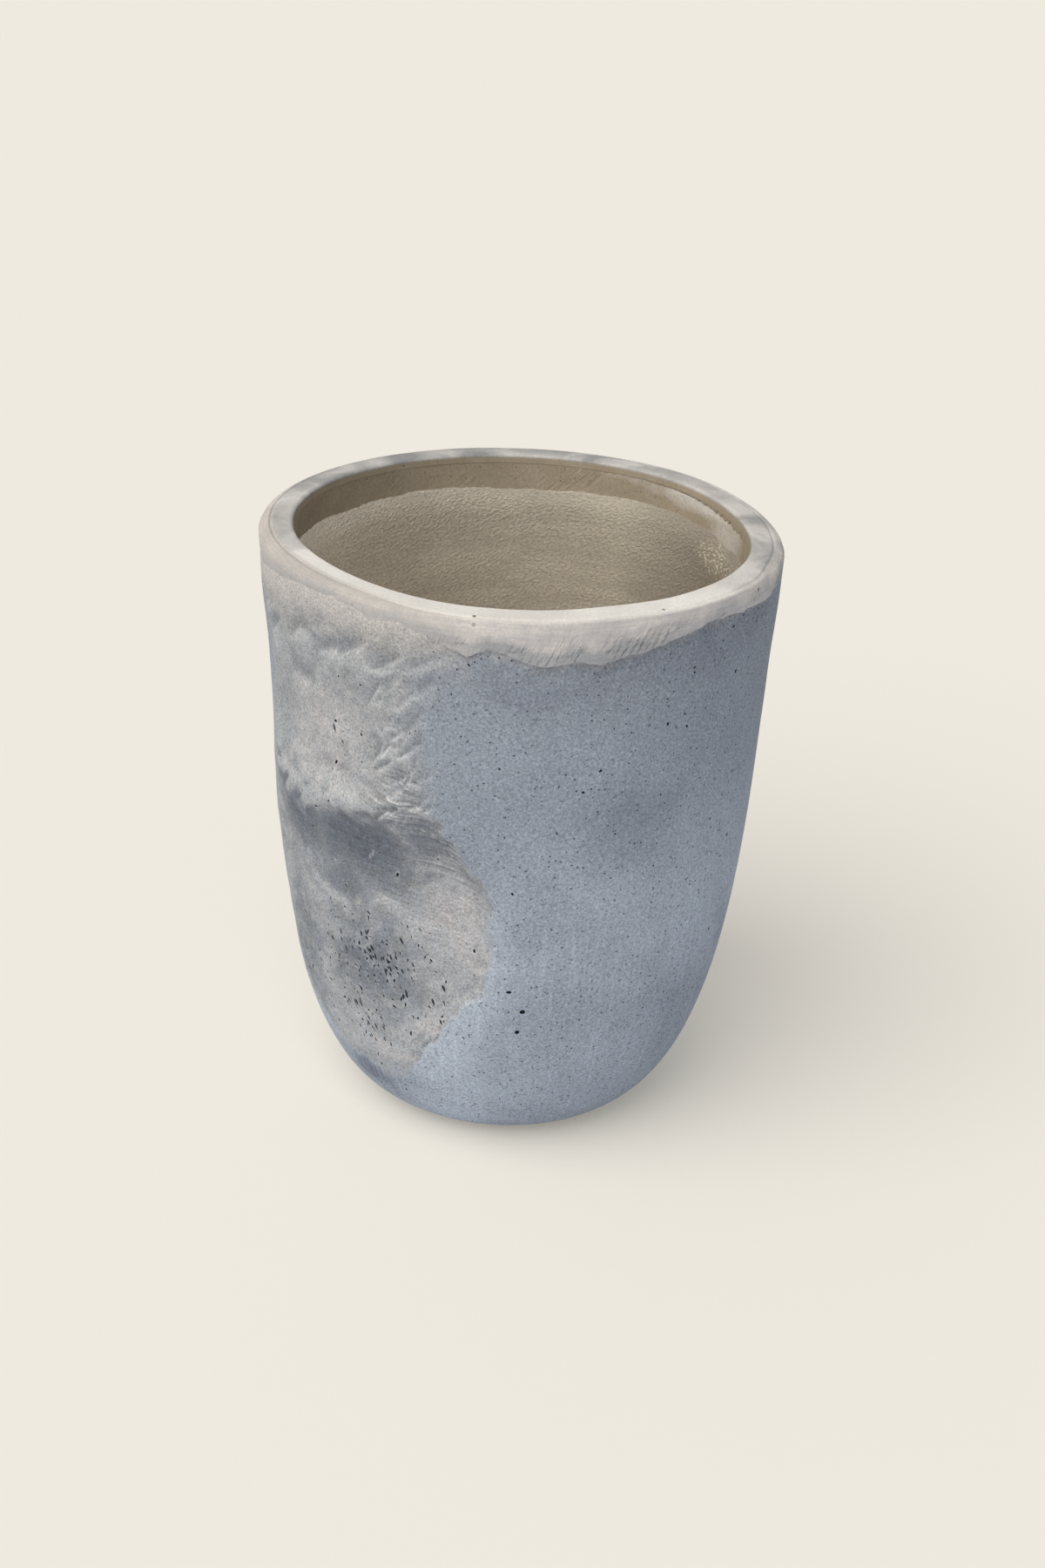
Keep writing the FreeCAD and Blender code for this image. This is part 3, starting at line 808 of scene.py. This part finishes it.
# Each column is let down to the ragged edge and pushed out to the wall that it lies on
places = points_of(coat)
turns, levels = turn_and_level(places)
radii = radii_of(places)
drawn = radii
lip_edge = edge_levels("rim_coat", True, lambda radius, level: radius < 205)
ring = ways_out(turns) * rim_radius * mm
in_front = ease(turns, 236, 250) * (1 - ease(turns, 330, 342))
ragged = (3.2 - 2.4 * in_front) * ripple(ring, 36, 11) + 1.4 * ripple(ring, 15, 12) + 1.0 * ripple(ring, 7, 17)
on_skirt = (radii > 210) & (levels < skirt_top + 0.05)
on_lip = (radii < 200) & (levels < lip_top)
skirt_low = np.minimum(at_turn(coat_edge, turns) + ragged, 515)
lip_low = np.minimum(at_turn(lip_edge, turns) + 0.2 * ragged, 521)
let_down = skirt_top - (skirt_top - levels) * (skirt_top - skirt_low) / skirt_drawn
moved = np.where(on_skirt, let_down, levels)
moved = np.where(on_lip, lip_top - (lip_top - levels) * (lip_top - lip_low) / lip_drawn, moved)
low_levels = at_turn(coat_edge, all_round) + 2
low_drawn = 224.2 + 0.8 * (low_levels - 500) / skirt_drawn
shift_low = hit_radius("rim_coat", all_round, low_levels, True) - low_drawn
shift_top = hit_radius("rim_coat", all_round, 0 * all_round + shoulder, True) - rim_radius
shift_lip = hit_radius("rim_coat", all_round, 0 * all_round + lip_level, False) - lip_drawn_radius
part = np.clip((shoulder - moved) / (shoulder - at_turn(coat_edge, turns)), 0, 1.2)
shift = at_turn(shift_top, turns) * (1 - part) + at_turn(shift_low, turns) * part
trowel_marks = [(239, 506, 34, 16, 12, 1.4), (252, 507, 40, 18, 8, 1.8), (264, 505, 36, 18, 10, 2.0),
                (278, 509, 52, 22, 14, 2.1), (289, 512, 34, 18, 24, 2.0), (295, 518, 24, 11, 20, 1.6),
                (304, 519, 30, 10, 14, 1.5), (315, 518, 26, 10, 10, 1.3), (327, 519, 24, 10, 12, 1.5),
                (222, 506, 40, 20, 10, 1.0), (205, 503, 36, 18, 12, 1.0), (345, 512, 40, 14, 10, 1.2),
                (30, 507, 44, 16, 12, 1.2), (75, 505, 40, 18, 8, 1.2), (120, 508, 36, 14, 12, 1.2),
                (160, 505, 44, 16, 10, 1.2), (257, 512, 30, 12, 10, 1.8), (270, 510, 34, 12, 6, 1.8)]
for k in range(7):
    trowel_marks.append((290 + 1.7 * k, 506 + 0.9 * k, 26, 7.5, 64, 1.7))
    trowel_marks.append((270 + 1.8 * k, 500 + 0.2 * k, 20, 7.5, 70, 1.3))
inward = ease(rim_radius - radii, 2, 27)
shift = shift * (1 - inward) + at_turn(shift_lip, turns) * inward
flat = np.stack([ring[:, 0], ring[:, 1], moved * mm], 1)
outer = ((radii > 222.7) & (levels < chamfer)).astype(float)
faded = patches(flat, [(215, 500, 190, 60, 1.0)]) ** 0.5
feather = 3 + 5 * (1 - patches(flat, [(312, 505, 130, 60, 1.0)])) + 16 * faded
at_sides = 1 - in_front
taper = (0.6 + 1.3 * at_sides - 0.2 * faded) * (1 - ease(moved - skirt_low, -0.5, feather))
marks, _ = scoops_at(flat, trowel_marks)
crumbly = patches(flat, [(320, 512, 100, 30, 1.0)])
bumps = 0.6 * ripple(flat, 24, 13) + (0.35 + 1.1 * crumbly) * ripple(flat, 9, 14)
shift = shift - outer * np.clip(taper + marks + bumps, -0.9, 3.0) * ease(chamfer - moved, 0, 6)
shift = shift - 1.2 * on_skirt * (1 - outer)
feathered = on_lip * (radii < 196.5) * ease((lip_top - moved) / (lip_top - lip_low), 0.3, 1)
corner = 4.2 * in_front * ease(drawn, 203, 214) * (1 - ease(drawn, 218, 225)) * (levels > skirt_top)
radii = radii + shift + 0.4 * feathered + corner
lift = 0.3 * ripple(places, 80, 15) + 0.1 * ripple(places, 20, 16)
moved = moved + np.where(levels > chamfer, np.minimum(lift - 0.3, 0), 0)
places = np.stack([radii * np.cos(np.radians(turns)), radii * np.sin(np.radians(turns)), moved], 1) * mm
move_to(coat, places)
note(coat, "edge", ease(moved - skirt_low, 0, 20) * (radii > 205) + (radii <= 205))
note(coat, "skirt", np.maximum(ease(chamfer - moved, 0, 5) * (radii > 205), ease(drawn + 6 * faded, 215, 221)))
note(coat, "lip", ease(528.5 - moved, 0, 3) * (radii < 205))
note(coat, "scooped", outer * np.clip(marks / 1.5, 0, 1))
note(coat, "faded", faded)
note(coat, "crumbly", crumbly)
# grey patches on the rim top at the back and left: painted dappled shadow
smeared_and_shadowed = patches(flat, [(105, 530, 340, 90, 1.0), (182, 530, 90, 90, 0.8), (5, 530, 170, 90, 0.9)]) ** 0.5
note(coat, "smeared_and_shadowed", smeared_and_shadowed)
wrap_round(coat, rim_radius, -1)

# Cement render: fine sand in pale cement, trowelled while wet. Almost white where it was pressed smooth on
# top, beige and rosy down the side, grey where it thins out over the concrete, and with grey patches on the
# top at the back and left that are painted dappled shadow.
render, tree = new_material("trowelled_cement_render")
place = add(tree, "TexCoord").outputs["Object"]
wrap = add(tree, "UVMap", uv_map="wrap").outputs["UV"]
share = noted(tree, "edge", "skirt", "lip", "scooped", "faded", "smeared_and_shadowed", "crumbly")
cloud = remap(tree, lumps(tree, place, 60, 4.0, 0.55), 0.35, 0.65)
colour = mix(tree, cloud, "#e6e0d6", "#d9d2c8")
# painted dappled shadow on the rim top
smear_and_shadow = remap(tree, lumps(tree, place, 46, 4.0, distortion=0.6), 0.36, 0.6, 0.4, 1.0)
smear_and_shadow = times(tree, smear_and_shadow, share["smeared_and_shadowed"])
colour = mix(tree, smear_and_shadow, colour, "#8f8d8a")
blush = lumps(tree, place, 28, 4.0, 0.6)
blush_tone = remap(tree, blush, 0.35, 0.65)
side = mix(tree, blush_tone, "#d8cec2", "#c3bbb4")
dull = remap(tree, share["faded"], 0.0, 1.0, 0.0, 0.7)
side = mix(tree, dull, side, "#aca59c")
colour = mix(tree, share["skirt"], colour, side)
thin = calc(tree, "SUBTRACT", 1.25, share["edge"])
thin = times(tree, thin, blush)
thin = remap(tree, thin, 0.19, 0.42, 0.0, 0.92)
bound = remap(tree, calc(tree, "MAXIMUM", share["faded"], share["crumbly"]), 0.0, 1.0, 1.0, 0.35)
thin = times(tree, thin, bound)
colour = mix(tree, thin, colour, "#a5a3a0")
lip_tone = mix(tree, blush_tone, "#a39680", "#ad9f8a")
colour = mix(tree, share["lip"], colour, lip_tone)
drag = flat_lumps(tree, laid(tree, wrap, 40, 2.0), 3.0)
drag_tone = remap(tree, drag, 0.3, 0.7, 0.93, 1.05)
colour = mix(tree, share["skirt"], colour, drag_tone, "MULTIPLY")
grain = lumps(tree, place, 2.2, 3.0, 0.7)
tone = remap(tree, grain, 0.3, 0.7, 0.88, 1.08)
colour = mix(tree, 1.0, colour, tone, "MULTIPLY")
chips = add(tree, "TexVoronoi", {"Vector": place, "Scale": 1000 / 16})
chip = remap(tree, chips.outputs["Distance"], 0.13, 0.08)
chosen = add(tree, "SeparateColor", {"Color": chips.outputs["Color"]})
chosen = remap(tree, chosen.outputs["Red"], 0.8, 0.82)
chip = times(tree, chip, chosen)
colour = mix(tree, chip, colour, "#7d6f63")
bump = dent(tree, grain, 0.25, 0.5)
drag_depth = times(tree, drag, share["skirt"])
bump = dent(tree, drag_depth, 0.4, 0.8, bump)
ribs = flat_lumps(tree, laid(tree, wrap, 18, 4.0, 62), 2.0)
rib_depth = times(tree, ribs, share["scooped"])
bump = dent(tree, rib_depth, 1.0, 2.6, bump)
surface(tree, {"Base Color": colour, "Roughness": 0.82, "Specular IOR Level": 0.3, "Normal": bump})
coat.data.materials.append(render)
smooth_up_to(coat, 50)
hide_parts("rim_coat")
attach(coat, "pot")

# Inner lining
# A waterproof cement render, laid on by hand with a trowel in one coat from the floor up to a wavering
# edge below the rim. It keeps the fine dabs and drag bands that it set with.
lining_line = [
    ((17.2, 44.5), (14, 44.5), (40, 44.5)),
    ((84, 45), (62, 44.5), (112, 46)),
    ((150, 130), (134, 84), (162, 180)),
    ((177.5, 330), (173, 264), (180.5, 392)),
    ((182.5, 478), (181.8, 440), (182.9, 486)),
    ((185.6, 497), (184.0, 492), (187.0, 501)),
    ((189.0, 504.6), (188.2, 503.6), (189.6, 505.2)),
]
lining_rows, lining_radius = 27, 190
lining_back = [(190.3, 503.6), (189.5, 480), (192, 410), (188.2, 329.5), (179.5, 225), (162.5, 120), (141.5, 68),
               (111.5, 41.5), (90, 35.5), (60, 35.5), (17.2, 35.5)]
lining = draw_line("inner_lining_finish", lining_line, lining_rows)
extrude_on(lining, -1, lining_back)
close_line(lining)
spin_round(lining, [(360, 360)])
places = points_of(lining)
turns, levels = turn_and_level(places)
radii = radii_of(places)
upper = ease(levels, 462, 486)
weigh(lining, "laid", (radii > 88) * (1 - upper))
modify(lining, "SHRINKWRAP", target=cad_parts["inner_lining"], vertex_group="laid")

# The top follows the wall's own round and the wavering edge, smoothed as a trowel leaves it
drawn_radius, drawn_level, drawn_edge = 182.5, 480, 504.6
spread = hit_radius("inner_lining", all_round, 0 * all_round + drawn_level, False) - drawn_radius
spread = at_turn(spread, turns)
lining_edge = edge_levels("inner_lining", False, lambda radius, level: level > 480)
lining_edge = evened(lining_edge, 15)
ring = ways_out(turns)
wave = at_turn(lining_edge, turns) - drawn_edge
wave = wave + 1.3 * ripple(lining_radius * mm * ring, 45, 21) + 0.5 * ripple(lining_radius * mm * ring, 15, 22)
places = points_of(lining) + ring * (spread * upper * mm)[:, None]
places[:, 2] += wave * ease(levels, 400, 500) * mm
move_to(lining, places)
radii = radii_of(places)
front = (outward(lining, places) < 0) & (radii > 60)
lining.vertex_groups.clear()
weigh(lining, "front", front * 1.0)
modify(lining, "SMOOTH", factor=0.5, iterations=3, vertex_group="front")
places = points_of(lining)
turns, levels = turn_and_level(places)
dabs = 0.7 * ripple(places, 60, 23) + 0.25 * ripple(places, 18, 24) + 0.12 * ripple(places, 8, 25)
push(lining, dabs * front * (1 - ease(levels, 492, 500)))
lining.vertex_groups.clear()
wrap_round(lining, lining_radius, 1)
note(lining, "glazed", patches(places, [(22, 480, 46, 20, 1.0), (9, 470, 40, 22, 0.8)], 8))
# painted shade on the right and back of the wall, where the key light falls
note(lining, "darkened", patches(places, [(20, 430, 250, 300, 1.0), (75, 400, 300, 420, 0.6)]))
note(lining, "laid_thick", patches(places, [(130, 480, 160, 40, 0.8), (95, 485, 160, 34, 0.6),
                                            (60, 470, 150, 60, 0.2)]))

# Lining render: the same cement with brown sand, warmer than the rim. The trowel left small long dabs all
# over it, in bands where it was laid on thicker, and one glazed corner where the wet cement was pressed, with
# pale flecks on it as a painted glint. The right and back of the wall are painted darker as painted shade.
plaster, tree = new_material("waterproof_lining_render")
place = add(tree, "TexCoord").outputs["Object"]
wrap = add(tree, "UVMap", uv_map="wrap").outputs["UV"]
glazed, thick, darkened = noted(tree, "glazed", "laid_thick", "darkened").values()
cloud = remap(tree, lumps(tree, place, 90, 4.0, 0.55), 0.35, 0.65)
colour = mix(tree, cloud, "#ede1cb", "#dfd3be")
# painted shade on the right and back of the wall
colour = mix(tree, darkened, colour, "#8f8576")
dab_map = laid(tree, wrap, 3.4, 2.5, -28)
dabs = flat_lumps(tree, dab_map, 3.0, 0.55, 0.3)
band = flat_lumps(tree, laid(tree, wrap, 160, 22), 3.0)
band_tone = remap(tree, band, 0.3, 0.7, 0.9, 1.06)
colour = mix(tree, 1.0, colour, band_tone, "MULTIPLY")
dab_tone = remap(tree, dabs, 0.3, 0.7, 0.82, 1.12)
colour = mix(tree, 1.0, colour, dab_tone, "MULTIPLY")
grain = lumps(tree, place, 2.2, 3.0, 0.7)
tone = remap(tree, grain, 0.3, 0.7, 0.9, 1.07)
colour = mix(tree, 1.0, colour, tone, "MULTIPLY")
colour = mix(tree, glazed, colour, "#9b8f7c")
# pale flecks in the glazed corner: a painted glint
painted_glints = remap(tree, flat_lumps(tree, dab_map, 3.0, 0.7, scale=0.8), 0.54, 0.62)
painted_glints = times(tree, painted_glints, glazed)
colour = mix(tree, painted_glints, colour, "#e2d8c4")
depth = remap(tree, band, 0.35, 0.65, 0.45, 1.0)
depth = calc(tree, "ADD", depth, thick)
depth = times(tree, depth, dabs)
bump = dent(tree, grain, 0.3, 0.5)
bump = dent(tree, depth, 0.8, 1.6, bump)
gloss = remap(tree, glazed, 0.0, 1.0, 0.78, 0.36)
surface(tree, {"Base Color": colour, "Roughness": gloss, "Specular IOR Level": 0.35, "Normal": bump})
lining.data.materials.append(plaster)
smooth_up_to(lining, 60)
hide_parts("inner_lining")
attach(lining, "pot")

# Drain sleeve
# A short length of grey PVC pipe with a collar, cast into the floor as the drain. The solid is right as it
# is, so only its finish is new: extruded plastic, with faint draw lines and some cement dust on it.
pipe, tree = new_material("extruded_pvc_pipe")
place = add(tree, "TexCoord").outputs["Object"]
draw_map = add(tree, "Mapping", {"Vector": place, "Scale": (1000 / 1.2, 1000 / 1.2, 1000 / 40)})
draw_lines = add(tree, "TexNoise", {"Vector": draw_map, "Scale": 1.0, "Detail": 2.0})
powder = remap(tree, lumps(tree, place, 9, 4.0, 0.65), 0.48, 0.7, 0.0, 0.6)
colour = mix(tree, powder, "#6b6d70", "#9a9791")
gloss = remap(tree, powder, 0.0, 1.0, 0.42, 0.8)
bump = dent(tree, draw_lines, 0.2, 0.2)
surface(tree, {"Base Color": colour, "Roughness": gloss, "IOR": 1.53, "Normal": bump})
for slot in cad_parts["drain_sleeve"].material_slots:
    slot.material = pipe

# Drain plug
# A bung moulded in one piece of black rubber: a tapered shank that squeezes into the sleeve, a flat head that
# seals on the floor of the well, and a ribbed tab on it to pull it out by. It is pushed in by hand.
plug_line = [((0, 10.5), (0, 10.5), (3, 10.5)), ((10.2, 10.5), (7, 10.5), (10.2, 10.5))]
plug_stops = [(11.4, 10.9), (12.2, 11.7), (12.5, 12.9), (12.9, 22), (13.3, 32), (13.7, 41), (13.85, 44.2),
              (14.4, 44.5), (24.0, 44.5), (24.7, 44.8), (25, 45.6), (25, 49.2), (24.7, 50.1), (24, 50.5),
              (21.6, 50.5), (21.2, 50.1), (19.8, 50.1), (19.4, 50.5), (0, 50.5)]
tab_wide, tab_thick, tab_low, tab_high = 24, 8, 49.5, 66.5
rib_levels = [56, 59.4, 62.8]
plug = draw_line("drain_plug_finish", plug_line, 4)
extrude_on(plug, -1, plug_stops)
spin_round(plug, [(360, 96)])
bare()
bpy.ops.mesh.primitive_cube_add(size=1, calc_uvs=False, location=(0, 0, (tab_low + tab_high) / 2 * mm))
tab = bpy.context.object
tab.scale = tab_wide * mm, tab_thick * mm, (tab_high - tab_low) * mm
bpy.ops.object.transform_apply(location=True, rotation=True, scale=True)
modify(tab, "BEVEL", width=2.6 * mm, segments=5, limit_method="ANGLE")
modify(plug, "BOOLEAN", operation="UNION", object=tab, solver="MANIFOLD")
bpy.data.objects.remove(tab)
for level in rib_levels:
    for side in (-1, 1):
        bare()
        bpy.ops.mesh.primitive_cylinder_add(vertices=20, calc_uvs=False, radius=0.9 * mm, depth=(tab_wide - 8) * mm,
                                            location=(0, side * (tab_thick / 2 - 0.1) * mm, level * mm),
                                            rotation=(0, math.pi / 2, 0))
        rib = bpy.context.object
        bpy.ops.object.transform_apply(location=True, rotation=True, scale=True)
        modify(rib, "BEVEL", width=0.5 * mm, segments=2, limit_method="ANGLE")
        modify(plug, "BOOLEAN", operation="UNION", object=rib, solver="MANIFOLD")
        bpy.data.objects.remove(rib)

# Moulded rubber: matt black with the fine texture of its mould, and grey dust from the cement around it
bung, tree = new_material("moulded_black_rubber")
place = add(tree, "TexCoord").outputs["Object"]
mould = lumps(tree, place, 0.8, 2.0)
powder = remap(tree, lumps(tree, place, 11, 5.0, 0.65), 0.5, 0.75, 0.0, 0.35)
colour = mix(tree, powder, "#232324", "#6f6b65")
bump = dent(tree, mould, 0.3, 0.15)
surface(tree, {"Base Color": colour, "Roughness": 0.62, "IOR": 1.52, "Normal": bump})
plug.data.materials.clear()
plug.data.materials.append(bung)
smooth_up_to(plug, 35)
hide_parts("drain_plug")
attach(plug, "plug")

# Foot pads
# Four round rubber pads glued into shallow sockets under the foot, so that the planter stands level and marks
# no floor. The solids are right as they are and only get their finish: cut rubber sheet, dusty and worn.
sheet, tree = new_material("cut_rubber_sheet")
place = add(tree, "TexCoord").outputs["Object"]
crumb = add(tree, "TexVoronoi", {"Vector": place, "Scale": 1000 / 1.6})
crumb_tone = add(tree, "SeparateColor", {"Color": crumb.outputs["Color"]})
colour = mix(tree, crumb_tone.outputs["Red"], "#2a2a2b", "#3f3e3d")
wear = remap(tree, lumps(tree, place, 14, 4.0, 0.6), 0.5, 0.75, 0.0, 0.5)
colour = mix(tree, wear, colour, "#76726b")
bump = dent(tree, crumb.outputs["Distance"], 0.4, 0.3)
surface(tree, {"Base Color": colour, "Roughness": 0.85, "IOR": 1.52, "Normal": bump})
for k in range(1, 5):
    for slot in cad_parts[f"foot_pad_{k}"].material_slots:
        slot.material = sheet

# Studio
# A plain pale floor that fills the view, a wide soft key light from the upper left, and soft light all round
# that is a little dimmer and bluer on the right. The camera looks down on it from in front.
paper_tone = "#efe9dd"


def seen_share(tree):
    """1 for rays that show the surface itself, straight on or mirrored, and 0 for the light that it gives."""
    path = add(tree, "LightPath")
    mirrored = calc(tree, "MAXIMUM", path.outputs["Is Glossy Ray"], path.outputs["Is Transmission Ray"])
    return calc(tree, "MAXIMUM", path.outputs["Is Camera Ray"], mirrored)


bare()
bpy.ops.mesh.primitive_plane_add(size=80)
floor = bpy.context.object
floor.name = "studio_floor"
paper, tree = new_material("studio_floor_paint")
seen = seen_share(tree)
tone = mix(tree, seen, "#e2e6ee", paper_tone)
matt = add(tree, "BsdfDiffuse", {"Color": tone})
glow = add(tree, "Emission", {"Color": shade(paper_tone)})
lifted = times(tree, seen, 0.3)
pale_floor = add(tree, "MixShader", {0: lifted, 1: matt, 2: glow})
add(tree, "OutputMaterial", {"Surface": pale_floor})
floor.data.materials.append(paper)

world = bpy.data.worlds.new("studio_air")
bpy.context.scene.world = world
world.use_nodes = True
tree = world.node_tree
tree.nodes.clear()
way = add(tree, "SeparateXYZ", {"Vector": add(tree, "TexCoord").outputs["Generated"]}).outputs["X"]
across = remap(tree, way, -0.6, 0.9)
air = mix(tree, across, "#ffffff", "#aeb8c7")
air = add(tree, "Background", {"Color": air, "Strength": 0.56})
backdrop = add(tree, "Background", {"Color": shade(paper_tone), "Strength": 1.0})
air = add(tree, "MixShader", {0: seen_share(tree), 1: air, 2: backdrop})
add(tree, "OutputWorld", {"Surface": air})

bare()
bpy.ops.object.light_add(type="SUN", location=(-2, -1.5, 2.2))
key = bpy.context.object
key.name = "key_light"
key.data.energy = 2.25
key.data.angle = math.radians(56)
key.rotation_euler = Vector((-0.38, -0.46, 0.8)).to_track_quat("Z", "Y").to_euler()

bare()
bpy.ops.object.camera_add(location=(0, -1.8, 1.154))
camera = bpy.context.object
camera.name = "viewer"
camera.rotation_mode = "ZYX"
camera.rotation_euler = math.radians(64.25), 0, math.radians(2.38)
camera.data.lens = 51.36
camera.data.shift_x = 0.00594
bpy.context.scene.camera = camera
bpy.context.scene.view_settings.view_transform = "Standard"
